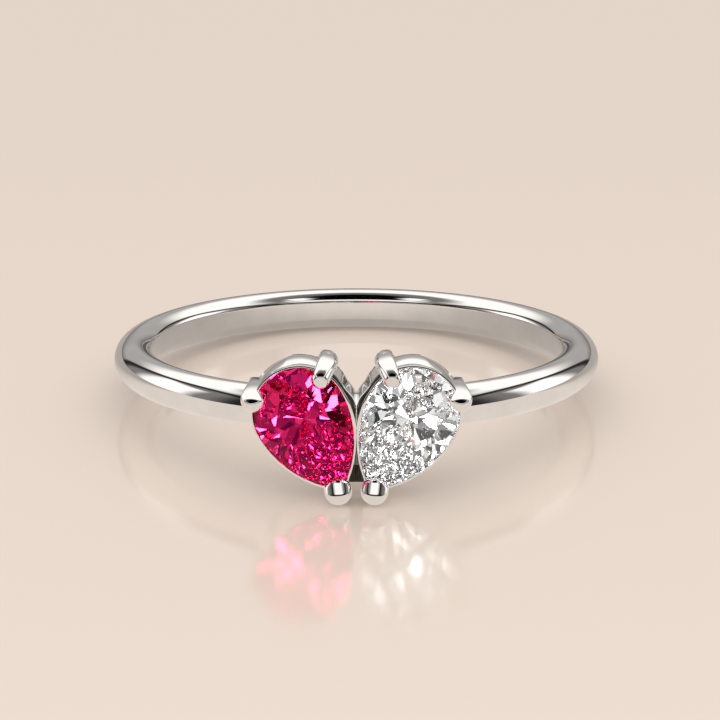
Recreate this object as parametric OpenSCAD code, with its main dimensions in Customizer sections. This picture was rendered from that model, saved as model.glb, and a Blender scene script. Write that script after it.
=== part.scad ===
// Finger ring with two pear-cut stones set side by side, tips down and together, as a heart.
// Its band, baskets and prongs are one piece of cast metal, and each stone is a piece of its own.
// It lies on its side as it rests, on the beads of its two tip prongs and the back of its band.
// Millimetres, +Z up, the stones towards -Y, origin at the centre of the finger hole.

/* [Band] */
// Diameter of the finger hole
finger_d = 17.3; // [16:0.1:19]
// Diameter of the round wire of the band
wire_d = 1.68; // [1.5:0.02:2]
// Depth of the flat on the inside of the wire
wire_flat = 0.14; // [0.08:0.01:0.2]

/* [Stones] */
// Width of a stone across its round end
stone_w = 3.72; // [3.5:0.02:3.9]
// Length of a stone from its round end to its tip
stone_l = 5.38; // [5.1:0.02:5.6]
// Height of the crown, from girdle to table
crown_h = 0.5; // [0.4:0.02:0.6]
// Thickness of the girdle
girdle_h = 0.06; // [0.04:0.01:0.1]
// Depth of the pavilion, from girdle to culet
pavilion_h = 1.66; // [1.5:0.02:1.7]
// Width of the table as a share of the stone's width
table_share = 0.58; // [0.5:0.01:0.65]
// Distance from the round end's centre to the culet, towards the tip
culet_shift = 0.35; // [0.1:0.05:0.6]
// Height of the points between two crown facets, as a share of the crown
star_share = 0.46; // [0.4:0.02:0.6]
// Depth of the points between two pavilion facets, as a share of the pavilion
lower_share = 0.7; // [0.6:0.02:0.84]

/* [Head] */
// Lean of each stone, tip towards the middle
lean = 28.4; // [27:0.1:30]
// Distance of each round end's centre from the middle
stone_x = 2.26; // [2.22:0.01:2.3]
// Height of each round end's centre above the middle of the band
stone_z = 0.38; // [0.2:0.02:0.6]
// Distance that the girdle stands out in front of the band
girdle_out = 1.36; // [1.3:0.02:1.6]
// Clear gap between a stone and its seat
seat_gap = 0.03; // [0.02:0.01:0.04]

/* [Baskets] */
// Width of the rim that shows round a stone
rim_w = 0.09; // [0.07:0.01:0.12]
// Thickness of the rim
rim_h = 0.26; // [0.2:0.02:0.4]
// Width of the fine groove under the rim
groove_h = 0.1; // [0.06:0.01:0.14]
// Distance that the wall under the groove stands out past the stone
wall_out = 0.07; // [0.05:0.01:0.08]
// Thickness of the wall, measured in from the stone's outline
wall_t = 0.46; // [0.36:0.02:0.6]
// Depth of a basket, from the rim to its open back
basket_h = 2.1; // [2.06:0.02:2.3]
// Distance from the rim to the long window round the outer side of a basket
window_drop = 0.62; // [0.5:0.02:0.7]
// Depth of the rail left at the back of that window
rail_h = 1.14; // [0.9:0.02:1.2]
// Distance that the walls facing each other stand out past the stones
inner_wall_out = 0.2; // [0.16:0.01:0.22]
// Thickness of the web that joins the two baskets
web_t = 0.36; // [0.3:0.02:0.44]

/* [Prongs] */
// Diameter of the stalk of the prongs beside the band and at the tip
stalk_d = 0.84; // [0.7:0.02:0.9]
// Diameter of the stalk of the claw over the round end
claw_stalk_d = 0.92; // [0.8:0.02:0.96]
// Diameter of the claw's end over the round end
top_bead_d = 0.72; // [0.66:0.02:0.78]
// Diameter of the bead beside the band
outer_bead_d = 1.04; // [0.94:0.02:1.1]
// Diameter of the bead over the tip
tip_bead_d = 1.1; // [1:0.02:1.2]

/* [Hidden] */
$fn = 64;
silver = [0.84, 0.83, 0.82];
ruby_pink = [0.88, 0.03, 0.38];
clear_white = [0.9, 0.93, 0.95, 0.75];
cut = 1;

finger_r = finger_d / 2;
wire_r = wire_d / 2;
wire_ring_r = finger_r + wire_r - wire_flat;
band_r = wire_ring_r + wire_r;
girdle_y = band_r + girdle_out;

// The outline is a round end and two long flank arcs that meet it tangentially and cross at the tip
round_r = stone_w / 2;
tip_y = stone_l - round_r;
flank_r = (tip_y * tip_y + round_r * round_r) / (2 * round_r);
flank_x = flank_r - round_r;
culet = [0, -culet_shift];

// Directions from the culet of the eight main facets, counted round from the tip
tip_dir = -90;
main_turns = [24, 64, 111, 157, 203, 249, 296, 336];
mains = [for (turn = main_turns) tip_dir + turn];
corners = [
    for (k = [0 : len(mains)])
        k == 0 ? tip_dir
        : k == len(mains) ? tip_dir + 360
        : (mains[k - 1] + mains[k]) / 2
];

// Each prong: place of its back end and of its bead from the round end's centre, as distance and
// direction, the bead's distance in front of the girdle, and the diameters of both
BACK_R = 0;
BACK_DIR = 1;
BEAD_R = 2;
BEAD_DIR = 3;
BEAD_OUT = 4;
BEAD_D = 5;
STALK_D = 6;
prongs = [
    [2.2, 32, 1.8, 34, 0.22, top_bead_d, claw_stalk_d],
    [1.86, 125, 1.94, 132, 0.35, outer_bead_d, stalk_d],
    [3.08, -94.5, 3.464, -92.1, 0.34, tip_bead_d, stalk_d]
];
TIP = 2;
prong_back_in = 0.52;
neck_step = 0.02;

// The window runs behind the outer prong, from a round end near the claw to one past the band
window_dirs = [72, 178];
window_d = basket_h - window_drop - rail_h;
window_y = girdle_y - window_drop - window_d / 2;
window_slot_share = 0.96;
inner_wall_x = 1.6;

// Each step of the web: distance of its front behind the girdle, height of its top and of its foot
WEB_BACK = 0;
WEB_TOP = 1;
WEB_FOOT = 2;
web_steps = [
    [0.42, 0.58, -1.7],
    [1.06, -1.5, -2.5]
];

// Shallow hollow across the top of the band, between the baskets
hollow_r = 8;
hollow_depth = 0.22;

// The tilt brings the tip beads and the back of the band to one level
tip_bead = prongs[TIP];
tip_bead_z = stone_z + tip_bead[BEAD_R] * sin(tip_bead[BEAD_DIR] + lean);
rest_span = girdle_y + tip_bead[BEAD_OUT] + wire_ring_r;
rest_tilt = asin((tip_bead_d / 2 - wire_r) / norm([rest_span, tip_bead_z])) - atan2(tip_bead_z, rest_span);

function way(direction) = [cos(direction), sin(direction)];

// Distance from p, along unit vector u, to the circle of radius r round c
function reach(p, u, c, r) = let (q = p - c, b = q * u) sqrt(b * b - q * q + r * r) - b;

// Outline point seen from the culet, and the circle's centre there, for an outline grown by g
function flank_centre(u) = [u.x < 0 ? flank_x : -flank_x, 0];
function round_hit(u, g) = culet + u * reach(culet, u, [0, 0], round_r + g);
function outline_centre(u, g) = round_hit(u, g).y > 0 ? [0, 0] : flank_centre(u);
function outline_point(u, g) =
    round_hit(u, g).y > 0
        ? round_hit(u, g)
        : culet + u * reach(culet, u, flank_centre(u), flank_r + g);
function outline_normal(u, g) =
    let (out = outline_point(u, g) - outline_centre(u, g)) out / norm(out);

// Crossing of the lines n1 * p = d1 and n2 * p = d2
function crossing(n1, d1, n2, d2) =
    [d1 * n2.y - d2 * n1.y, n1.x * d2 - n2.x * d1] / (n1.x * n2.y - n1.y * n2.x);

// Point on both main facets next to corner k, a share of the way from the outline to their far ends
function ridge_point(k, share, far, g) =
    let (
        ua = way(mains[(k + len(mains) - 1) % len(mains)]),
        ub = way(mains[k % len(mains)]),
        na = outline_normal(ua, g),
        nb = outline_normal(ub, g),
        pa = outline_point(ua, g),
        pb = outline_point(ub, g),
        ra = na * (pa - culet) * far,
        rb = nb * (pb - culet) * far
    )
    crossing(na, na * pa - share * ra, nb, nb * pb - share * rb);

function at_height(p, h) = [p.x, p.y, h];

// A pear brilliant with its culet down and girdle at height 0, grown by g on every side
module pear_stone(g) {
    n = len(mains);
    top = girdle_h / 2 + g;
    crown = crown_h;
    pavilion = pavilion_h + g;
    table = [
        for (k = [0 : n - 1])
            at_height(culet + table_share * (outline_point(way(mains[k]), g) - culet), top + crown)
    ];
    stars = [
        for (k = [0 : n - 1])
            at_height(ridge_point(k, star_share, 1 - table_share, g), top + star_share * crown)
    ];
    edge = [
        for (k = [0 : n - 1]) for (side = [0, 1])
            outline_point(way(side == 0 ? corners[k] : mains[k]), g)
    ];
    upper = [for (p = edge) at_height(p, top)];
    lower = [for (p = edge) at_height(p, -top)];
    ridges = [
        for (k = [0 : n - 1])
            at_height(ridge_point(k, lower_share, 1, g), -top - lower_share * pavilion)
    ];
    point = [at_height(culet, -top - pavilion)];
    star_0 = n;
    upper_0 = 2 * n;
    lower_0 = 4 * n;
    ridge_0 = 6 * n;
    point_0 = 7 * n;
    faces = concat(
        [[for (k = [n - 1 : -1 : 0]) k]],
        [for (k = [0 : n - 1]) [(k + n - 1) % n, k, star_0 + k]],
        [for (k = [0 : n - 1]) [k, star_0 + (k + 1) % n, upper_0 + 2 * k + 1, star_0 + k]],
        [for (k = [0 : n - 1]) [star_0 + k, upper_0 + 2 * k + 1, upper_0 + 2 * k]],
        [for (k = [0 : n - 1]) [star_0 + k, upper_0 + 2 * k, upper_0 + (2 * k + 2 * n - 1) % (2 * n)]],
        [
            for (k = [0 : 2 * n - 1])
                [upper_0 + k, upper_0 + (k + 1) % (2 * n), lower_0 + (k + 1) % (2 * n), lower_0 + k]
        ],
        [for (k = [0 : n - 1]) [ridge_0 + k, lower_0 + 2 * k, lower_0 + 2 * k + 1]],
        [for (k = [0 : n - 1]) [ridge_0 + k, lower_0 + (2 * k + 2 * n - 1) % (2 * n), lower_0 + 2 * k]],
        [for (k = [0 : n - 1]) [point_0, ridge_0 + k, lower_0 + 2 * k + 1, ridge_0 + (k + 1) % n]]
    );
    polyhedron(concat(table, stars, upper, lower, ridges, point), faces);
}

// Flat pear outline, grown by g
module pear(g) {
    circle(round_r + g);
    intersection() {
        translate([flank_x, 0]) circle(flank_r + g);
        translate([-flank_x, 0]) circle(flank_r + g);
        translate([-round_r - g, -stone_l]) square([2 * (round_r + g), stone_l]);
    }
}

// Turns children drawn with +Z out of the table and the tip towards -Y to the left stone's place
module at_left_stone() {
    translate([-stone_x, 0, stone_z]) rotate([90, 0, 0]) rotate([0, 0, lean]) children();
}

module both_sides() {
    children();
    mirror([1, 0, 0]) children();
}

module resting() {
    rotate([-rest_tilt, 0, 0]) children();
}

module band() {
    difference() {
        rotate_extrude() translate([wire_ring_r, 0]) circle(wire_r);
        translate([0, 0, wire_r - hollow_depth + hollow_r])
            rotate([90, 0, 0]) cylinder(h = band_r + cut, r = hollow_r);
    }
}

// Pear wall from height low to height high, whose outside is the stone's outline grown by out
module pear_wall(out, low, high) {
    translate([0, 0, low]) linear_extrude(high - low) difference() {
        pear(out);
        pear(-wall_t);
    }
}

// Opening through the round end's wall, between two slightly wider round ends
module window() {
    inner_r = round_r - wall_t - cut / 2;
    slot = window_slot_share * window_d;
    for (direction = window_dirs)
        rotate([0, 0, direction]) translate([inner_r, 0, window_y])
            rotate([0, 90, 0]) cylinder(h = wall_t + cut, d = window_d);
    rotate_extrude(angle = window_dirs[1] - window_dirs[0], start = window_dirs[0])
        translate([inner_r, window_y - slot / 2]) square([wall_t + cut, slot]);
}

module basket() {
    back = girdle_y - basket_h;
    rim_low = girdle_y - rim_h;
    groove_low = rim_low - groove_h;
    difference() {
        union() {
            pear_wall(rim_w, rim_low, girdle_y);
            pear_wall(0, groove_low, rim_low);
            pear_wall(wall_out, back, groove_low);
        }
        window();
    }
}

// Stalk with a round back end, which narrows towards a smaller bead at its front end
module prong(row) {
    back = at_height(row[BACK_R] * way(row[BACK_DIR]), band_r - prong_back_in);
    bead = at_height(row[BEAD_R] * way(row[BEAD_DIR]), girdle_y + row[BEAD_OUT]);
    run = bead - back;
    length = norm(run);
    back_r = row[STALK_D] / 2;
    bead_r = row[BEAD_D] / 2;
    neck_r = min(back_r, bead_r - neck_step);
    translate(back) rotate([0, acos(run.z / length), atan2(run.y, run.x)]) {
        rotate_extrude() intersection() {
            union() {
                circle(back_r);
                polygon([[0, 0], [back_r, 0], [neck_r, length], [0, length]]);
                translate([0, length]) circle(bead_r);
            }
            translate([0, -back_r - cut]) square([back_r + bead_r, length + back_r + bead_r + 2 * cut]);
        }
    }
}

// Thicker wall on the side that faces the other basket
module inner_wall() {
    back = girdle_y - basket_h;
    intersection() {
        pear_wall(inner_wall_out, back, girdle_y - rim_h - groove_h);
        translate([inner_wall_x, -stone_l, back - cut]) cube([round_r, 2 * stone_l, basket_h]);
    }
}

// Web that closes the crevice between the baskets, deeper between their tips
module web() {
    for (step = web_steps) {
        front = girdle_y - step[WEB_BACK];
        web_h = step[WEB_TOP] - step[WEB_FOOT];
        translate([-web_t / 2, -front, step[WEB_FOOT]]) cube([web_t, front - wire_ring_r, web_h]);
    }
}

module half_head() {
    at_left_stone() {
        basket();
        inner_wall();
        for (row = prongs) prong(row);
    }
}

module ring_mount() {
    color(silver) resting() difference() {
        union() {
            band();
            web();
            both_sides() half_head();
        }
        both_sides() at_left_stone() translate([0, 0, girdle_y]) pear_stone(seat_gap);
        translate([0, 0, -stone_l]) cylinder(h = 2 * stone_l, r = finger_r);
    }
}

module pink_stone() {
    color(ruby_pink) resting() at_left_stone() translate([0, 0, girdle_y]) pear_stone(0);
}

module clear_stone() {
    color(clear_white) resting() mirror([1, 0, 0]) at_left_stone()
        translate([0, 0, girdle_y]) pear_stone(0);
}

ring_mount();
pink_stone();
clear_stone();
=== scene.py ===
import math

import bmesh
import bpy
from mathutils import Matrix, Vector


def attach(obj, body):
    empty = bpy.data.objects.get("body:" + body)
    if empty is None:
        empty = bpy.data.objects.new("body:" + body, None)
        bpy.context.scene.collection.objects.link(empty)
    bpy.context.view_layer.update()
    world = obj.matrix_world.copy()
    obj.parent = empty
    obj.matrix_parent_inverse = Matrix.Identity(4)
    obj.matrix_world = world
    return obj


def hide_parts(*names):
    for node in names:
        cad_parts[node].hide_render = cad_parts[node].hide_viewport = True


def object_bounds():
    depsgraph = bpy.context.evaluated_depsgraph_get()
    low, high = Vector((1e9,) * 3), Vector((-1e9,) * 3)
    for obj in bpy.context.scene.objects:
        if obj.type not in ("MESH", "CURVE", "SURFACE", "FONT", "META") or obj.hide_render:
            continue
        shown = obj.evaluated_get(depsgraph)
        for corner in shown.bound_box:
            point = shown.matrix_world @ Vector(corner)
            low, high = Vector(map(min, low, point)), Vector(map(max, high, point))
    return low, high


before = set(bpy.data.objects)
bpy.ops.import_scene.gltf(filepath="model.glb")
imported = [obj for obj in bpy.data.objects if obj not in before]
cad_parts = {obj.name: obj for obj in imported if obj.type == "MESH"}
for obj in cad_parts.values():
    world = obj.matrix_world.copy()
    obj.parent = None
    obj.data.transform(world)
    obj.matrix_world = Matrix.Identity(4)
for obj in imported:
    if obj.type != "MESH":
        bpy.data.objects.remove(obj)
cad_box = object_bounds()

# Millimetres to metres; the shapes below are worked out in millimetres, round the finger hole's axis
MM = 0.001
# Edges that turn by more than this many degrees stay sharp
SHARP_TURN = 35

# Band
FINGER_R = 8.65
WIRE_R = 0.84
WIRE_FLAT = 0.14
WIRE_RING_R = FINGER_R + WIRE_R - WIRE_FLAT
BAND_R = WIRE_RING_R + WIRE_R
# The hollow across the top of its head end is an arc, followed so far to each side of the middle
HOLLOW_R = 8.0
HOLLOW_DEPTH = 0.22
HOLLOW_REACH = 2.5
# Degrees of the wire's round part that the edges of its flat are softened over
FLAT_SOFT = 2
BAND_STEPS = 384
ROUND_STEPS = 44
FLAT_STEPS = 10

# Stones, drawn with the table along +Z, the round end's centre at the origin and the tip along -Y
STONE_W = 3.72
STONE_L = 5.38
ROUND_R = STONE_W / 2
TIP_Y = STONE_L - ROUND_R
FLANK_R = (TIP_Y**2 + ROUND_R**2) / (2 * ROUND_R)
FLANK_X = FLANK_R - ROUND_R
CULET = Vector((0, -0.35))
TIP_DIR = -90
SEAT_GAP = 0.02
# How many times as large as its stone the notch in the prongs and the band is
NOTCH_SCALE = 1.02
# Points of a stone that lie closer than this are one
SAME_POINT = 0.001

# Head: how many degrees the stones' tips are turned in, how far to the side and up the centres of
# their round ends lie, and how far the girdles lie from the ring's axis
LEAN = 28.4
STONE_X = 2.26
STONE_Z = 0.38
GIRDLE_Y = BAND_R + 1.36

# Baskets: widths are measured out from the stone's outline, and depths back from the girdle
RIM_W = 0.1
RIM_H = 0.26
GROOVE_H = 0.1
WALL_OUT = 0.07
WALL_T = 0.46
BASKET_H = 2.1
# The side that faces the other basket, at the groove and at the back, and its gap to the middle
INNER_WALL_OUT = 0.17
INNER_WALL_FAR = 0.24
MIDDLE_GAP = 0.004
# Low on that side, the rim and the wall stand out further by these
LOW_RIM_MORE = 0.05
LOW_WALL_MORE = 0.14
LOW_FAR_MORE = 0.11
# On the upper side the groove is wider and deeper, and the wall swells out and draws in again
UPPER_GROOVE_MORE = 0.06
UPPER_GROOVE_IN = 0.08
UPPER_OUT = 0.04
UPPER_SWELL = 0.21
UPPER_SWELL_RUN = 0.4
UPPER_TAPER = 0.17
UPPER_TAPER_START = 1.4
# At the window the wall ends at this depth. The slot behind it leaves a rail of a least depth, whose
# back comes forward there, with its front edge drawn in and its back edge standing out
WINDOW_DROP = 0.52
SLOT_D = 0.34
RAIL_LEAST_D = 0.15
RAIL_RAISE = 0.32
RAIL_FRONT_IN = 0.01
RAIL_BACK_OUT = 0.09
# Directions round a basket from the round end's centre, in degrees, and the stretches they fade over
WINDOW_START = 58
WINDOW_OPENING = (0, 28)
WINDOW_CLOSING = (118, 153)
FACING_DIR = -6
FACING_FADE = (36, 52)
UPPER_FADE = (118, 150)
LOW_FADE = (0, 18)
LOW_FAR_FADE = (3, 20)
# Depths at which the seat's lip ends and the inside of the wall begins
SEAT_DEPTH = 0.055
SEAT_FOOT = 0.6
# Softened edges, some with how far in their middle point lies
SEAT_EDGE = 0.006
RIM_EDGE = 0.016
RIM_EDGE_MID = 0.005
RIM_FOOT_EDGE = 0.02
RIM_FOOT_MID = 0.006
WALL_EDGE = 0.03
WALL_EDGE_MID_SHARE = 0.3
WALL_END_EDGE = 0.04
BACK_EDGE = 0.05
BACK_EDGE_MID = 0.015
RAIL_FRONT_EDGE = 0.06
RAIL_INNER_EDGE = 0.04
BASKET_STEPS = 240
WALL_STEPS = 10
# The wall's rows lie closer together towards the groove
WALL_CROWDING = 1.5
# Faces of the wall's profile that line the groove; they take a dark copy of the silver, painted shade in
# the groove
GROOVE_FACES = (8, 9, 10)

# Prongs: a place is a distance and a direction from the round end's centre, and then how far it is
# in front of the girdle
PRONG_BACK_Y = BAND_R - 0.52
PRONG_SIDES = 80
KNOT_STEPS = 8
FRONT_STEPS = 24
BACK_STEPS = 8
END_R = 0.002
# Shares of the way from a stalk's back to its bead where a prong has its middle knots
STALK_KNOTS = (0.35, 0.7)
# Place and radius of each knot
CLAW_TONGUE = [
    (2.22, 32.5, -1.66, 0.31),
    (2.22, 32.5, -0.85, 0.34),
    (2.17, 32.4, -0.5, 0.37),
    (1.96, 32.2, -0.1, 0.39),
    (1.69, 32, 0.3, 0.38),
]
CLAW_ROOT = [
    (2.12, 30, -1.5, 0.42),
    (2.1, 30, -1.3, 0.42),
    (2.08, 29.5, -1.15, 0.41),
]
# Filed faces, in the order in which they are cut
CLAW_FACES = [
    {"height": 0.35, "tilt": 28, "soft": 0.06, "round_across": 0.3, "round_back": 0.14},
    {"height": 0.341, "tilt": 41.5, "soft": 0.04},
    {"height": 0.3, "tilt": 93.5, "soft": 0.02},
]
SIDE_BEAD = (1.94, 132, 0.35)
SIDE_STALK = (1.86, 125)
SIDE_RADII = (0.38, 0.42, 0.49, 0.515)
SIDE_FACES = [
    {"height": 0.22, "tilt": 17, "soft": 0.06, "round_across": 0.3, "round_back": 0.1},
    {"height": 0.35, "tilt": 46.5, "turn": 10},
]
TIP_BEAD_R = 0.55
TIP_BEAD_FAR = 3.464
TIP_BEAD_DIR = -92.1
TIP_BEAD_OUT = 0.34
TIP_STALK = (3.08, -94.5)
TIP_RADII = (0.42, 0.43, 0.5, TIP_BEAD_R)
TIP_FACES = [
    {"height": 0.84 * TIP_BEAD_R, "tilt": 60, "turn": 8, "soft": 0.05, "round_across": 0.9},
]

# Web: half its width, and the radius of the nose along its front. Between two heights its shoulders,
# beside the nose, lie further back than the nose does
WEB_HALF = 0.3
WEB_NOSE = 0.05
WEB_NOSE_STEPS = 12
WEB_SHOULDER_IN = 0.2
WEB_SHOULDER_LOW = -1.45
WEB_SHOULDER_HIGH = 0.46
# Height, and how far its front and its back are behind the girdle
WEB_LEVELS = [
    (0.85, 1.31, 1.36),
    (0.54, 0.36, 2.2),
    (0.5, 0.38, 2.2),
    (0.44, 0.2, 2.2),
    (-0.3, 0.2, 2.2),
    (-1.4, 0.2, 2.2),
    (-1.5, 0.3, 2.2),
    (-1.85, 0.5, 2.2),
    (-1.9, 1.6, 2.2),
    (-2.1, 1.9, 2.2),
    (-2.75, 1.2, 2.2),
]
# Level from which the web's faces take a darker silver, painted shade in the recess, as far as its foot
RECESS_LEVEL = 4

# The ring lies on the beads of its tip prongs and on the back of its band
tip_bead_z = STONE_Z + TIP_BEAD_FAR * math.sin(math.radians(TIP_BEAD_DIR + LEAN))
rest_span = GIRDLE_Y + TIP_BEAD_OUT + WIRE_RING_R
bead_rise = math.asin((TIP_BEAD_R - WIRE_R) / math.hypot(rest_span, tip_bead_z))
rest_tilt = bead_rise - math.atan2(tip_bead_z, rest_span)
REST = Matrix.Rotation(-rest_tilt, 4, "X") @ Matrix.Scale(MM, 4)
LEFT = (
    Matrix.Translation((-STONE_X, 0, STONE_Z))
    @ Matrix.Rotation(math.radians(90), 4, "X")
    @ Matrix.Rotation(math.radians(LEAN), 4, "Z")
)
SIDES = {"pink": LEFT, "clear": Matrix.Scale(-1, 4, (1, 0, 0)) @ LEFT}

# Looks of the metal and the stones: scales, strength and depth of the fine patterns in them
CLOUD_SCALE = 900
CLOUD_DETAIL = 3
CLOUD_RAMP = (0.3, 0.7)
MARKS_SCALE = 5000
MARKS_STRENGTH = 0.02
MARKS_DEPTH = 0.01
ZONES_SCALE = 400
ZONE_DARKER = 0.93
GEM_IOR = 2.42

# Stage, in metres
FLOOR_HALF = 1.5
FLOOR_COLOUR = (0.67, 0.563, 0.484)
FLOOR_GLOW = (0.1, 0.085, 0.073)
FLOOR_ROUGHNESS = 0.12
MIRRORED_DROP = 0.01 * MM
MIRRORED_COLOUR = (0.84, 0.76, 0.69)
# From one place to another, the mirrored floor goes from one share of its brightness to the next, as
# painted shade
NEAR_FADE = (-0.003, 0.008, 1.0, 0.56)
BEHIND_FADE = (0.011, 0.017, 0.0, 0.75)
MIDDLE_FADE = (0.007, 0.012, 1.0, 0.0)

# Studio: turns are degrees round from the front to either side, and heights degrees up
# Soft boxes: turns, heights, softness of both, brightness
SIDE_BOX = ((88, 124), (0, 33), (7, 3), 1.15)
FRONT_BOX = ((-30, 46), (32, 58), (14, 2), 1.2)
LOWER_STRIP = ((46, 70), (57, 66), (4, 2), 1.3)
UPPER_STRIP = ((62, 97), (67, 74), (5, 2), 1.3)
GREY_BOX = ((76, 200), (50, 74), (8, 5), 0.2)
# Slow changes: from and to which angle, and from and to which brightness, or else from 0 to 1
SIDE_GLOW = (58, 78, 0.02, 0.2)
BACK_HORIZON = (-3, 9, 0.1, 0.42)
BACK_WALL = (17, 33, 0.0, 0.8)
BACK_GLOW = (84, 120, 0.45, 1.0)
BACK_START = (70, 96)
FRONT_GLOW = (35, 75, 0.05, 0.3)
FRONT_END = (104, 84)
LEAST_GLOW = (60, 90, 0.004, 0.03)
CEILING_START = (64, 52)
# The arch round each side box: its middle turn, its half width and height, and its two edges
ARCH_TURN = 90
ARCH_HALF = 55
ARCH_HEIGHT = 44
ARCH_INSIDE = (0.97, 0.86)
ARCH_OUTSIDE = (1.03, 1.1)
# Share of each colour in the studio's light
WARMTH = {"Red": 1.0, "Green": 0.965, "Blue": 0.935}
# Even light for what is matt, brighter from one height to another
EVEN_LIGHT = (0, 70, 0.4, 1.5)
# Windows for the stones: size of the cells, and from which share of them on which brightness
WINDOW_CELLS = 3.8
WINDOW_LEVELS = [(0.0, 0.004), (0.28, 0.03), (0.44, 0.055), (0.58, 0.08), (0.74, 0.115), (0.93, 3.0)]
WINDOW_BRIGHTNESS = 10

# Camera: the photo's viewing angle and distance, its focal length in pixels, and the pixel on which
# the middle of the finger hole falls
ELEVATION = 13.3
CAMERA_FAR = 0.2
CAMERA_NEAREST = 0.01
FOCAL_PX = 4740
FRAME_PX = 720
HOLE_PX = (356.4, 356.2)
SENSOR_W = 36


def way(direction):
    """Unit vector in the plane of a stone's girdle."""
    return Vector((math.cos(math.radians(direction)), math.sin(math.radians(direction))))


def spot(far, direction, y):
    """Place at a distance and direction from a round end's centre, so far out of the girdle's plane."""
    return Vector((*(far * way(direction)), y))


def reach(p, u, c, r):
    """Distance from p, along unit vector u, to the circle of radius r round c."""
    q = p - c
    b = q.dot(u)
    return math.sqrt(b * b - q.dot(q) + r * r) - b


def outline_point(direction, grow):
    """Point of a stone's outline, grown, in a direction seen from the culet."""
    u = way(direction)
    hit = CULET + u * reach(CULET, u, Vector((0, 0)), ROUND_R + grow)
    if hit.y > 0:
        return hit
    centre = Vector((FLANK_X if u.x < 0 else -FLANK_X, 0))
    return CULET + u * reach(CULET, u, centre, FLANK_R + grow)


def to_the_right(p):
    """How far right a point of the left stone's plane lies from its round end's centre."""
    return p.x * math.cos(math.radians(LEAN)) - p.y * math.sin(math.radians(LEAN))


def wall_point(direction, grow):
    """Point of the grown outline, kept on its own side of the middle plane between the stones."""
    point = outline_point(direction, grow)
    u = way(direction)
    past = to_the_right(point) - STONE_X + MIDDLE_GAP
    return point - u * (past / to_the_right(u)) if past > 0 else point


def ease(x, start, end):
    """Goes smoothly from 0 at start to 1 at end."""
    t = min(max((x - start) / (end - start), 0), 1)
    return t * t * (3 - 2 * t)


def smooth_path(points, steps):
    """Points along a smooth curve through knots of any size, evenly in parameter."""
    out = []
    for i in range(len(points) - 1):
        a, b, c, d = (points[min(max(k, 0), len(points) - 1)] for k in (i - 1, i, i + 1, i + 2))
        for s in range(steps):
            t = s / steps
            square = (2 * a - 5 * b + 4 * c - d) * t * t
            cube = (3 * b - a - 3 * c + d) * t**3
            out.append(0.5 * (2 * b + (c - a) * t + square + cube))
    return out + [points[-1]]


def loft(rings, closed_path=False):
    """Points and faces of the skin over closed rings, with flat ends unless the path is closed."""
    n, count = len(rings[0]), len(rings)
    points = [p for ring in rings for p in ring]
    faces = [
        (i * n + j, i * n + (j + 1) % n, (i + 1) % count * n + (j + 1) % n, (i + 1) % count * n + j)
        for i in range(count if closed_path else count - 1)
        for j in range(n)
    ]
    if not closed_path:
        faces += [tuple(range(n)), tuple(range((count - 1) * n, count * n))]
    return points, faces


def metal_piece(name, skin, place, materials, painted_shade_faces=()):
    """A piece of the mount, from a skin in millimetres; its faces with painted shade take the second
    material.
    """
    points, faces = skin
    mesh = bpy.data.meshes.new(name)
    mesh.from_pydata([REST @ place @ Vector(p) for p in points], [], faces)
    shape = bmesh.new()
    shape.from_mesh(mesh)
    bmesh.ops.recalc_face_normals(shape, faces=shape.faces)
    shape.to_mesh(mesh)
    shape.free()
    mesh.shade_smooth()
    mesh.set_sharp_from_angle(angle=math.radians(SHARP_TURN))
    obj = bpy.data.objects.new(name, mesh)
    bpy.context.scene.collection.objects.link(obj)
    for material in materials:
        mesh.materials.append(material)
    for k in painted_shade_faces:
        mesh.polygons[k].material_index = 1
    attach(obj, "root")
    return obj


def notch_cutter(node):
    """A solid a little larger than a stone, round the stone's middle, to cut its notch with."""
    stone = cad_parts[node]
    shape = bmesh.new()
    shape.from_mesh(stone.data)
    bmesh.ops.transform(shape, matrix=stone.matrix_world, verts=shape.verts)
    bmesh.ops.remove_doubles(shape, verts=shape.verts, dist=SAME_POINT * MM)
    bmesh.ops.recalc_face_normals(shape, faces=shape.faces)
    middle = sum((v.co for v in shape.verts), Vector()) / len(shape.verts)
    for v in shape.verts:
        v.co = middle + NOTCH_SCALE * (v.co - middle)
    mesh = bpy.data.meshes.new(node + "_notch")
    shape.to_mesh(mesh)
    shape.free()
    obj = bpy.data.objects.new(mesh.name, mesh)
    bpy.context.scene.collection.objects.link(obj)
    return obj


def cut_clear(obj, nodes):
    """Cuts a piece of the mount clear of the stones of some nodes."""
    cutters = [notch_cutter(node) for node in nodes]
    for cutter in cutters:
        notch = obj.modifiers.new(cutter.name, "BOOLEAN")
        notch.operation = "DIFFERENCE"
        notch.solver = "EXACT"
        notch.object = cutter
    cut = bpy.data.meshes.new_from_object(obj.evaluated_get(bpy.context.evaluated_depsgraph_get()))
    cut.set_sharp_from_angle(angle=math.radians(SHARP_TURN))
    obj.modifiers.clear()
    whole = obj.data
    obj.data = cut
    bpy.data.meshes.remove(whole)
    cut.name = obj.name
    for cutter in cutters:
        bpy.data.meshes.remove(cutter.data)
    return obj


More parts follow.
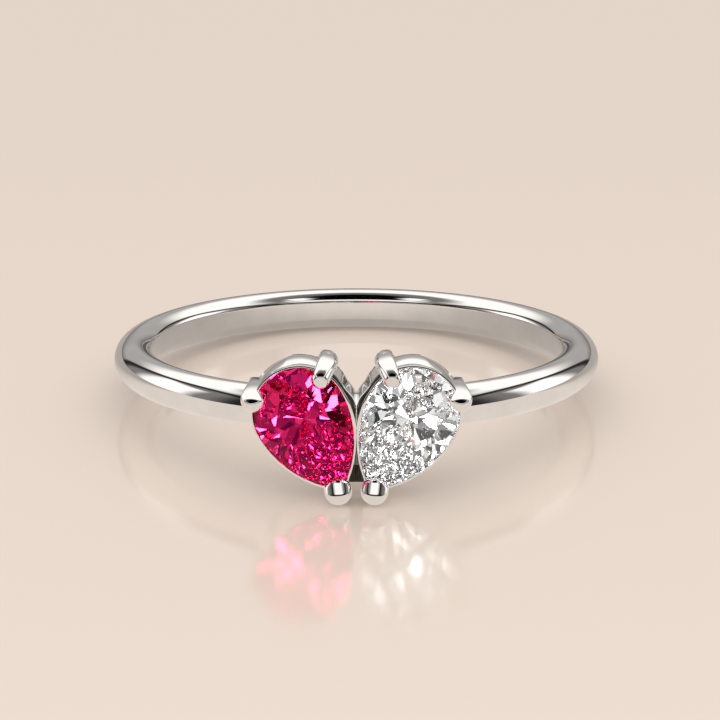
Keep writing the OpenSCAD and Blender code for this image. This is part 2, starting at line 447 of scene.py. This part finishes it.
class Shading:
    """A node tree that nodes are added to. A value is a number or the output of a node."""

    def __init__(self, tree):
        self.nodes = tree.nodes
        self.links = tree.links

    def put(self, value, socket):
        """Gives a socket a value."""
        if isinstance(value, (int, float)):
            socket.default_value = value
        else:
            self.links.new(value, socket)

    def work(self, operation, a, b=0.0):
        """Result of an operation on two values, or on a alone."""
        node = self.nodes.new("ShaderNodeMath")
        node.operation = operation
        self.put(a, node.inputs[0])
        self.put(b, node.inputs[1])
        return node.outputs["Value"]

    def times(self, a, b):
        return self.work("MULTIPLY", a, b)

    def plus(self, a, b):
        return self.work("ADD", a, b)

    def rise(self, value, low, high, start=0.0, end=1.0):
        """Goes smoothly from start to end while value goes from low to high."""
        node = self.nodes.new("ShaderNodeMapRange")
        node.interpolation_type = "SMOOTHSTEP"
        self.put(value, node.inputs["Value"])
        self.put(low, node.inputs["From Min"])
        self.put(high, node.inputs["From Max"])
        self.put(start, node.inputs["To Min"])
        self.put(end, node.inputs["To Max"])
        return node.outputs["Result"]

    def axes(self, place):
        """X, Y and Z of a place."""
        node = self.nodes.new("ShaderNodeSeparateXYZ")
        self.put(place, node.inputs["Vector"])
        return node.outputs["X"], node.outputs["Y"], node.outputs["Z"]

    def noise(self, place, scale, detail=2.0):
        """Soft random pattern from 0 to 1, finer with a larger scale."""
        node = self.nodes.new("ShaderNodeTexNoise")
        node.inputs["Scale"].default_value = scale
        node.inputs["Detail"].default_value = detail
        self.put(place, node.inputs["Vector"])
        return node.outputs["Fac"]

    def ramp(self, value, stops, interpolation="LINEAR"):
        """Colour that goes through stops, each a place on the ramp and a colour."""
        node = self.nodes.new("ShaderNodeValToRGB")
        node.color_ramp.interpolation = interpolation
        elements = node.color_ramp.elements
        for k, (at, colour) in enumerate(stops):
            stop = elements[k] if k < len(elements) else elements.new(at)
            stop.position = at
            stop.color = (*colour, 1)
        self.put(value, node.inputs["Fac"])
        return node.outputs["Color"]

    def choose(self, share, a, b):
        """Colour a where the share is 0 and colour b where it is 1."""
        node = self.nodes.new("ShaderNodeMix")
        node.data_type = "RGBA"
        self.put(share, node.inputs["Factor"])
        self.put(a, node.inputs["A"])
        self.put(b, node.inputs["B"])
        return node.outputs["Result"]


def node_material(name):
    """A new material, its node tree to add to, and its shader."""
    material = bpy.data.materials.new(name)
    material.use_nodes = True
    return material, Shading(material.node_tree), material.node_tree.nodes["Principled BSDF"]


def silver_material(name, dark, light, glosses):
    """White metal between two tones: faint cloudiness in its gloss and very fine polishing marks."""
    material, tree, shader = node_material(name)
    place = tree.nodes.new("ShaderNodeTexCoord").outputs["Object"]
    cloud = tree.noise(place, CLOUD_SCALE, CLOUD_DETAIL)
    tree.put(tree.ramp(cloud, zip(CLOUD_RAMP, (dark, light))), shader.inputs["Base Color"])
    gloss = tree.nodes.new("ShaderNodeMapRange")
    tree.put(cloud, gloss.inputs["Value"])
    tree.put(glosses[0], gloss.inputs["To Min"])
    tree.put(glosses[1], gloss.inputs["To Max"])
    tree.put(gloss.outputs["Result"], shader.inputs["Roughness"])
    bump = tree.nodes.new("ShaderNodeBump")
    bump.inputs["Strength"].default_value = MARKS_STRENGTH
    bump.inputs["Distance"].default_value = MARKS_DEPTH * MM
    tree.put(tree.noise(place, MARKS_SCALE), bump.inputs["Height"])
    tree.put(bump.outputs["Normal"], shader.inputs["Normal"])
    shader.inputs["Metallic"].default_value = 1
    return material


def gem_material(name, tint, depth_colour, density, mirror_tint):
    """Clear cut stone: light takes on colour at its surface and along its way inside."""
    material, tree, shader = node_material(name)
    place = tree.nodes.new("ShaderNodeTexCoord").outputs["Object"]
    zones = tree.noise(place, ZONES_SCALE)
    darker = [c * ZONE_DARKER for c in tint]
    tree.put(tree.ramp(zones, [(0, darker), (1, tint)]), shader.inputs["Base Color"])
    shader.inputs["Roughness"].default_value = 0
    shader.inputs["IOR"].default_value = GEM_IOR
    shader.inputs["Specular Tint"].default_value = (*mirror_tint, 1)
    shader.inputs["Transmission Weight"].default_value = 1
    absorb = tree.nodes.new("ShaderNodeVolumeAbsorption")
    absorb.inputs["Color"].default_value = (*depth_colour, 1)
    absorb.inputs["Density"].default_value = density
    tree.put(absorb.outputs["Volume"], tree.nodes["Material Output"].inputs["Volume"])
    return material


def wire_profile():
    """The wire across its length: a round part, and a flat on the inside with softly broken edges."""
    flat_angle = math.acos(1 - WIRE_FLAT / WIRE_R)
    soft = math.radians(FLAT_SOFT)
    profile = []
    for k in range(ROUND_STEPS + 1):
        a = -math.pi + flat_angle + soft + k * 2 * (math.pi - flat_angle - soft) / ROUND_STEPS
        profile.append((WIRE_RING_R + WIRE_R * math.cos(a), WIRE_R * math.sin(a)))
    half_flat = WIRE_R * math.sin(flat_angle) - WIRE_R * soft
    for k in range(FLAT_STEPS + 1):
        profile.append((FINGER_R, half_flat - 2 * half_flat * k / FLAT_STEPS))
    return profile


def band_skin():
    """The wire, bent to a ring, hollowed a little across the top of the head end."""
    profile = wire_profile()
    rings = []
    for i in range(BAND_STEPS):
        a = 2 * math.pi * i / BAND_STEPS
        x, y = math.cos(a), math.sin(a)
        ring = []
        for r, z in profile:
            from_middle = min(abs(r * x), HOLLOW_REACH)
            lid = WIRE_R - HOLLOW_DEPTH + HOLLOW_R - math.sqrt(HOLLOW_R**2 - from_middle**2)
            ring.append((r * x, r * y, min(z, lid) if y < 0 else z))
        rings.append(ring)
    return loft(rings, closed_path=True)


def wall_profile(rim, groove_low, groove_in, depth, edge, wall_out):
    """The wall, from the seat over the rim and the groove to its end: distances out and heights."""
    out = wall_out(groove_low)
    edge_mid = WALL_EDGE_MID_SHARE * edge
    profile = [
        (SEAT_GAP, -SEAT_DEPTH),
        (SEAT_GAP, -SEAT_EDGE),
        (SEAT_GAP + SEAT_EDGE, 0),
        (rim - RIM_EDGE, 0),
        (rim - RIM_EDGE_MID, -RIM_EDGE_MID),
        (rim, -RIM_EDGE),
        (rim, RIM_FOOT_EDGE - RIM_H),
        (rim - RIM_FOOT_MID, RIM_FOOT_MID - RIM_H),
        (rim - RIM_FOOT_EDGE, -RIM_H),
        (groove_in, -RIM_H),
        (groove_in, -groove_low),
        (out - edge, -groove_low),
        (out - edge_mid, -groove_low - edge_mid),
    ]
    start = groove_low + edge
    end = depth - WALL_END_EDGE
    for k in range(WALL_STEPS + 1):
        d = start + (end - start) * (k / WALL_STEPS) ** WALL_CROWDING
        profile.append((wall_out(d), -d))
    last = wall_out(depth)
    return profile + [
        (last - BACK_EDGE_MID, BACK_EDGE_MID - depth),
        (last - BACK_EDGE, -depth),
        (BACK_EDGE - WALL_T, -depth),
        (-WALL_T, BACK_EDGE - depth),
        (-WALL_T, -SEAT_FOOT),
    ]


def rail_profile(window, depth, wall_out):
    """The rail behind the wall, which draws in under the window: distances out and heights."""
    front = min(depth + SLOT_D, BASKET_H - RAIL_LEAST_D)
    back = BASKET_H - RAIL_RAISE * window
    front_out = wall_out(front) * (1 - window) - RAIL_FRONT_IN * window
    back_out = wall_out(back) * (1 - window) + RAIL_BACK_OUT * window
    return [
        (front_out - RAIL_FRONT_EDGE, -front),
        (front_out - BACK_EDGE_MID, -front - BACK_EDGE_MID),
        (front_out, -front - BACK_EDGE),
        (back_out, BACK_EDGE - back),
        (back_out - BACK_EDGE_MID, BACK_EDGE_MID - back),
        (back_out - BACK_EDGE, -back),
        (RAIL_INNER_EDGE - WALL_T, -back),
        (-WALL_T, RAIL_INNER_EDGE - back),
        (-WALL_T, -front - RAIL_INNER_EDGE),
        (RAIL_INNER_EDGE - WALL_T, -front),
    ]


def basket_profiles(direction):
    """Profiles of the wall and the rail in a direction seen from the culet."""
    edge_point = outline_point(direction, 0)
    side = math.degrees(math.atan2(edge_point.y, edge_point.x))
    past = (side - WINDOW_START) % 360
    window = ease(past, *WINDOW_OPENING) * (1 - ease(past, *WINDOW_CLOSING))
    facing = 1 - ease(abs(side - FACING_DIR), *FACING_FADE)
    upper = (1 - facing) * (1 - ease(side, *UPPER_FADE)) if side > 0 else 0
    low = ease(-side, *LOW_FADE) * facing
    groove_low = RIM_H + GROOVE_H + UPPER_GROOVE_MORE * upper
    depth = BASKET_H - (BASKET_H - WINDOW_DROP) * window

    def wall_out(d):
        """How far the wall stands out past the stone at a depth behind the girdle."""
        deep = (d - groove_low) / (BASKET_H - groove_low)
        front = INNER_WALL_OUT + LOW_WALL_MORE * low
        far = INNER_WALL_FAR + LOW_FAR_MORE * ease(-side, *LOW_FAR_FADE)
        inner = front + (far - front) * deep
        swell = UPPER_SWELL * (1 - math.exp((groove_low - d) / UPPER_SWELL_RUN))
        outer = UPPER_OUT + swell - UPPER_TAPER * ease(d, UPPER_TAPER_START, BASKET_H)
        return facing * inner + upper * outer + (1 - facing - upper) * WALL_OUT

    rim = RIM_W + LOW_RIM_MORE * low
    groove_in = -UPPER_GROOVE_IN * upper
    edge = WALL_EDGE + WALL_EDGE * facing
    wall = wall_profile(rim, groove_low, groove_in, depth, edge, wall_out)
    return wall, rail_profile(window, depth, wall_out)


def basket_skins():
    """The wall with its rim and groove, cut back over the window, the rail, and the groove's faces."""
    walls, rails = [], []
    for i in range(BASKET_STEPS):
        direction = TIP_DIR + 360 * i / BASKET_STEPS
        for rings, profile in zip((walls, rails), basket_profiles(direction)):
            rings.append([(*wall_point(direction, g), GIRDLE_Y + h) for g, h in profile])
    groove = [i * len(walls[0]) + j for i in range(BASKET_STEPS) for j in GROOVE_FACES]
    return loft(walls, closed_path=True), loft(rails, closed_path=True), groove


def tube_skin(path, radii):
    """Round tube along points, with a radius at each, whose end rings close it."""
    rings = []
    for i, centre in enumerate(path):
        along = (path[min(i + 1, len(path) - 1)] - path[max(i - 1, 0)]).normalized()
        across = along.cross(Vector((1, 0, 0))).normalized()
        up = along.cross(across)
        ring = []
        for k in range(PRONG_SIDES):
            a = 2 * math.pi * k / PRONG_SIDES
            ring.append(centre + radii[i] * (math.cos(a) * across + math.sin(a) * up))
        rings.append(ring)
    return loft(rings)


def quarter_turn(steps):
    """Angles through a quarter of a turn, in equal steps."""
    return [math.pi / 2 * k / steps for k in range(steps + 1)]


def prong_skin(knots):
    """A prong along knots of place and radius: a round back end, a stalk and a round front end."""
    curve = smooth_path([Vector((*place, r)) for place, r in knots], KNOT_STEPS)
    path = [p.to_3d() for p in curve]
    radii = [p.w for p in curve]
    first, last = path[0], path[-1]
    back = (first - path[1]).normalized()
    front = (last - path[-2]).normalized()
    path[-1:] = [last + front * radii[-1] * math.sin(a) for a in quarter_turn(FRONT_STEPS)]
    radii[-1:] = [radii[-1] * math.cos(a) + END_R for a in quarter_turn(FRONT_STEPS)]
    path[:1] = [first + back * radii[0] * math.cos(a) for a in quarter_turn(BACK_STEPS)]
    radii[:1] = [radii[0] * math.sin(a) + END_R for a in quarter_turn(BACK_STEPS)]
    return tube_skin(path, radii)


def filed(skin, centre, height, tilt, turn=0, soft=0.03, round_across=0, round_back=0):
    """A skin brought down to a face at a height over a centre, as if filed.

    The face looks up, tilted so many degrees to the front and turned so many to the left. Its edge
    is soft, and it bends away to both sides of the centre and behind it.
    """
    points, faces = skin
    up = way(90 - LEAN + turn)
    normal = Vector((*(up * math.cos(math.radians(tilt))), math.sin(math.radians(tilt))))
    across = Vector((up.y, -up.x, 0))
    along = across.cross(normal)
    out = []
    for p in points:
        offset = Vector(p) - centre
        over = offset.dot(normal) - height
        over += round_across * offset.dot(across) ** 2 + round_back * min(offset.dot(along), 0) ** 2
        share = min(max(0.5 - over / (2 * soft), 0), 1)
        out.append(Vector(p) + normal * (over * share - soft * share * (1 - share) - over))
    return out, faces


def claw_skins():
    """Claw over the round end: a slim tongue that bends over the rim, with a stout root beside it."""
    tongue, root = (
        prong_skin([(spot(far, turn, GIRDLE_Y + out), r) for far, turn, out, r in knots])
        for knots in (CLAW_TONGUE, CLAW_ROOT)
    )
    far, turn, out, _ = CLAW_TONGUE[-1]
    for face in CLAW_FACES:
        tongue = filed(tongue, spot(far, turn, GIRDLE_Y + out), **face)
    return tongue, root


def bead_prong_skin(bead, stalk, radii, faces):
    """A straight prong from the back of its stalk to a bead over the stone, with its filed faces."""
    knots = [stalk, *(stalk.lerp(bead, share) for share in STALK_KNOTS), bead]
    skin = prong_skin(zip(knots, radii))
    for face in faces:
        skin = filed(skin, bead, **face)
    return skin


def side_prong_skin():
    """Prong on a stone's outer side, filed to a slope that falls to the front."""
    far, direction, out = SIDE_BEAD
    bead = spot(far, direction, GIRDLE_Y + out)
    return bead_prong_skin(bead, spot(*SIDE_STALK, PRONG_BACK_Y), SIDE_RADII, SIDE_FACES)


def tip_prong_skin():
    """Prong at a stone's tip, on whose bead the ring lies."""
    bead = spot(TIP_BEAD_FAR, TIP_BEAD_DIR, GIRDLE_Y + TIP_BEAD_OUT)
    return bead_prong_skin(bead, spot(*TIP_STALK, PRONG_BACK_Y), TIP_RADII, TIP_FACES)


def web_skin():
    """Web between the baskets, with a nose along its front, and the faces of its lower part, which take
    painted shade.
    """
    rings = []
    for z, drop, back in WEB_LEVELS:
        front = GIRDLE_Y - drop
        narrow = WEB_SHOULDER_HIGH > z > WEB_SHOULDER_LOW
        shoulder = front - WEB_SHOULDER_IN if narrow else front
        ring = [(-WEB_HALF, -shoulder, z), (-WEB_NOSE, -shoulder, z)]
        for k in range(WEB_NOSE_STEPS, -1, -1):
            a = math.pi * k / WEB_NOSE_STEPS
            ring.append((WEB_NOSE * math.cos(a), -front + WEB_NOSE * (1 - math.sin(a)), z))
        ring += [(WEB_NOSE, -shoulder, z), (WEB_HALF, -shoulder, z)]
        ring += [(WEB_HALF, back - GIRDLE_Y, z), (-WEB_HALF, back - GIRDLE_Y, z)]
        rings.append(ring)
    shaded_faces = range(RECESS_LEVEL * len(ring), (len(WEB_LEVELS) - 1) * len(ring))
    return loft(rings), shaded_faces


def build_mount():
    """All pieces of the mount, with the prongs and the band cut clear of the stones."""
    silver = silver_material("polished_silver", (0.80, 0.785, 0.77), (0.86, 0.85, 0.84), (0.02, 0.07))
    # Dark copy of the silver for the grooves: painted shade where the groove lies in shadow
    groove_shade_silver = silver_material("groove_shade_silver", (0.05, 0.045, 0.04), (0.12, 0.11, 0.10), (0.3, 0.5))
    # Darker copy of the silver for the web's lower part: painted shade in the recess behind the beads
    recess_shade_silver = silver_material("recess_shade_silver", (0.2, 0.18, 0.165), (0.32, 0.3, 0.28), (0.3, 0.5))
    polished = (silver,)
    middle = Matrix.Identity(4)
    web, recess = web_skin()
    wall, rail, groove = basket_skins()
    tongue, root = claw_skins()
    band = metal_piece("band", band_skin(), middle, polished)
    pieces = [
        cut_clear(band, [side + "_stone" for side in SIDES]),
        metal_piece("web", web, middle, (silver, recess_shade_silver), recess),
    ]
    for side, place in SIDES.items():
        stone = [side + "_stone"]
        side_prong = side_prong_skin()
        tip_prong = tip_prong_skin()
        pieces += [
            metal_piece(side + "_basket", wall, place, (silver, groove_shade_silver), groove),
            metal_piece(side + "_rail", rail, place, polished),
            cut_clear(metal_piece(side + "_claw", tongue, place, polished), stone),
            metal_piece(side + "_claw_root", root, place, polished),
            cut_clear(metal_piece(side + "_side_prong", side_prong, place, polished), stone),
            cut_clear(metal_piece(side + "_tip_prong", tip_prong, place, polished), stone),
        ]
    return pieces


def colour_stones():
    """Gives each stone's solid its own material."""
    gems = {
        "pink_stone": gem_material(
            "pink_gem",
            tint=(0.76, 0.022, 0.12),
            depth_colour=(0.88, 0.5, 0.75),
            density=100,
            mirror_tint=(0.5, 0.006, 0.2),
        ),
        "clear_stone": gem_material(
            "clear_gem",
            tint=(0.98, 0.985, 0.99),
            depth_colour=(0.9, 0.95, 1.0),
            density=10,
            mirror_tint=(0.5, 0.5, 0.5),
        ),
    }
    for node, material in gems.items():
        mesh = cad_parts[node].data
        mesh.materials.clear()
        mesh.materials.append(material)


def flat(name, z, half):
    """Square sheet that lies level at a height, a piece of the stage."""
    mesh = bpy.data.meshes.new(name)
    corners = [(-half, -half, z), (half, -half, z), (half, half, z), (-half, half, z)]
    mesh.from_pydata(corners, [], [(0, 1, 2, 3)])
    obj = bpy.data.objects.new(name, mesh)
    bpy.context.scene.collection.objects.link(obj)
    obj.visible_transmission = False
    return obj


def seen_floor():
    """Wide pale satin table top, which gives off a little light of its own."""
    floor = flat("floor", cad_box[0].z, FLOOR_HALF)
    material, _, shader = node_material("pale_satin")
    shader.inputs["Base Color"].default_value = (*FLOOR_COLOUR, 1)
    shader.inputs["Emission Color"].default_value = (*FLOOR_GLOW, 1)
    shader.inputs["Emission Strength"].default_value = 1
    shader.inputs["Roughness"].default_value = FLOOR_ROUGHNESS
    floor.data.materials.append(material)
    floor.visible_glossy = False


def mirrored_floor():
    """What the metal mirrors in the floor's stead, a painted reflection: it lights itself, and darkens
    behind the ring with painted shade.
    """
    mirrored = flat("mirrored_floor", cad_box[0].z - MIRRORED_DROP, FLOOR_HALF)
    material, tree, shader = node_material("mirrored_satin")
    x, y, _ = tree.axes(tree.nodes.new("ShaderNodeTexCoord").outputs["Object"])
    near = tree.rise(y, *NEAR_FADE)
    behind = tree.rise(y, *BEHIND_FADE)
    middle = tree.rise(tree.work("ABSOLUTE", x), *MIDDLE_FADE)
    # Painted shadow: a dark patch on the mirrored floor behind the middle of the ring
    dark = tree.times(behind, middle)
    shade = tree.work("SUBTRACT", near, tree.times(near, dark))
    tone = tree.ramp(shade, [(0, (0, 0, 0)), (1, MIRRORED_COLOUR)])
    shader.inputs["Base Color"].default_value = (0, 0, 0, 1)
    shader.inputs["Roughness"].default_value = 1
    shader.inputs["Specular IOR Level"].default_value = 0
    tree.put(tone, shader.inputs["Emission Color"])
    shader.inputs["Emission Strength"].default_value = 1
    mirrored.data.materials.append(material)
    mirrored.visible_camera = False
    mirrored.visible_diffuse = False
    mirrored.visible_shadow = False


def soft_box(tree, turn, height, box):
    """Light between two turns and two heights, soft by so many degrees at its edges."""
    (left, right), (bottom, top), (soft_turn, soft_height), bright = box
    starts = tree.rise(turn, left - soft_turn, left + soft_turn)
    ends = tree.rise(turn, right + soft_turn, right - soft_turn)
    above = tree.rise(height, bottom - soft_height, bottom + soft_height)
    below = tree.rise(height, top + soft_height, top - soft_height)
    return tree.times(tree.times(tree.times(starts, ends), tree.times(above, below)), bright)


def arch_distance(tree, turn, height):
    """How far a direction lies from the middle of the arch's foot, as a share of the arch's size."""
    across = tree.work("ABSOLUTE", tree.work("SUBTRACT", turn, ARCH_TURN))
    across = tree.work("POWER", tree.work("DIVIDE", across, ARCH_HALF), 2)
    up = tree.work("POWER", tree.work("DIVIDE", height, ARCH_HEIGHT), 2)
    return tree.work("SQRT", tree.plus(across, up))


def studio_light(tree, turn, height):
    """What metal mirrors: a soft box on each side, each framed by a thin dark arch, in a dim room.

    Overhead, narrow strips and a grey field lie on each side of a black ceiling.
    """
    arch = arch_distance(tree, turn, height)
    inside = tree.rise(arch, *ARCH_INSIDE)
    outside = tree.rise(arch, *ARCH_OUTSIDE)
    side = tree.plus(soft_box(tree, turn, height, SIDE_BOX), tree.rise(turn, *SIDE_GLOW))
    wall = tree.plus(tree.rise(height, *BACK_HORIZON), tree.rise(height, *BACK_WALL))
    back = tree.times(tree.rise(turn, *BACK_GLOW), wall)
    back = tree.times(back, tree.rise(turn, *BACK_START))
    front = tree.plus(tree.rise(turn, *FRONT_GLOW), soft_box(tree, turn, height, FRONT_BOX))
    front = tree.times(front, tree.rise(turn, *FRONT_END))
    room = tree.plus(tree.times(side, inside), tree.times(tree.plus(front, back), outside))
    room = tree.plus(room, tree.rise(turn, *LEAST_GLOW))
    room = tree.times(room, tree.rise(height, *CEILING_START))
    strips = [soft_box(tree, turn, height, box) for box in (LOWER_STRIP, UPPER_STRIP)]
    room = tree.plus(room, tree.plus(*strips))
    return tree.plus(room, soft_box(tree, turn, height, GREY_BOX))


def window_light(tree, place):
    """What the stones let in: a pattern of cells, most of them dim and a few very bright."""
    windows = tree.nodes.new("ShaderNodeTexVoronoi")
    windows.inputs["Scale"].default_value = WINDOW_CELLS
    tree.put(place, windows.inputs["Vector"])
    chance = tree.nodes.new("ShaderNodeSeparateColor")
    tree.put(windows.outputs["Color"], chance.inputs["Color"])
    levels = [(at, (tone, tone, tone)) for at, tone in WINDOW_LEVELS]
    sparkle = tree.ramp(chance.outputs["Red"], levels, "CONSTANT")
    bright = tree.nodes.new("ShaderNodeVectorMath")
    bright.operation = "SCALE"
    bright.inputs["Scale"].default_value = WINDOW_BRIGHTNESS
    tree.put(sparkle, bright.inputs["Vector"])
    return bright.outputs["Vector"]


def world_light():
    """Even light for what is matt, a studio for what mirrors, and small windows for the stones."""
    world = bpy.data.worlds.new("studio")
    bpy.context.scene.world = world
    world.use_nodes = True
    tree = Shading(world.node_tree)
    place = tree.nodes.new("ShaderNodeTexCoord").outputs["Generated"]
    x, y, z = tree.axes(place)
    # Degrees round from the front to either side, and up from the horizon
    to_degrees = 180 / math.pi
    sideways = tree.work("ABSOLUTE", x)
    forwards = tree.times(y, -1)
    turn = tree.times(tree.work("ARCTAN2", sideways, forwards), to_degrees)
    height = tree.times(tree.work("ARCSINE", z), to_degrees)
    studio = studio_light(tree, turn, height)
    warm = tree.nodes.new("ShaderNodeCombineColor")
    for channel, share in WARMTH.items():
        tree.put(tree.times(studio, share), warm.inputs[channel])
    path = tree.nodes.new("ShaderNodeLightPath")
    even = tree.rise(height, *EVEN_LIGHT)
    seen = tree.choose(path.outputs["Is Glossy Ray"], even, warm.outputs["Color"])
    seen = tree.choose(path.outputs["Is Transmission Ray"], seen, window_light(tree, place))
    tree.put(seen, tree.nodes["Background"].inputs["Color"])


def camera():
    """The photo's viewing angle, distance and framing."""
    elevation = math.radians(ELEVATION) + rest_tilt
    data = bpy.data.cameras.new("camera")
    data.sensor_width = SENSOR_W
    data.lens = FOCAL_PX / FRAME_PX * SENSOR_W
    data.shift_x = (FRAME_PX / 2 - HOLE_PX[0]) / FRAME_PX
    data.shift_y = (HOLE_PX[1] - FRAME_PX / 2) / FRAME_PX
    data.clip_start = CAMERA_NEAREST
    obj = bpy.data.objects.new("camera", data)
    bpy.context.scene.collection.objects.link(obj)
    back = Vector((0, -math.cos(elevation), math.sin(elevation)))
    obj.location = back * CAMERA_FAR
    obj.rotation_mode = "QUATERNION"
    obj.rotation_quaternion = (-back).to_track_quat("-Z", "Y")
    bpy.context.scene.camera = obj


for obj in build_mount():
    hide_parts("ring_mount")
colour_stones()
seen_floor()
mirrored_floor()
world_light()
camera()
bpy.context.scene.view_settings.view_transform = "Standard"
# Long paths, which the light inside the stones takes
bpy.context.scene.cycles.max_bounces = 32
bpy.context.scene.cycles.glossy_bounces = 24
bpy.context.scene.cycles.transmission_bounces = 32
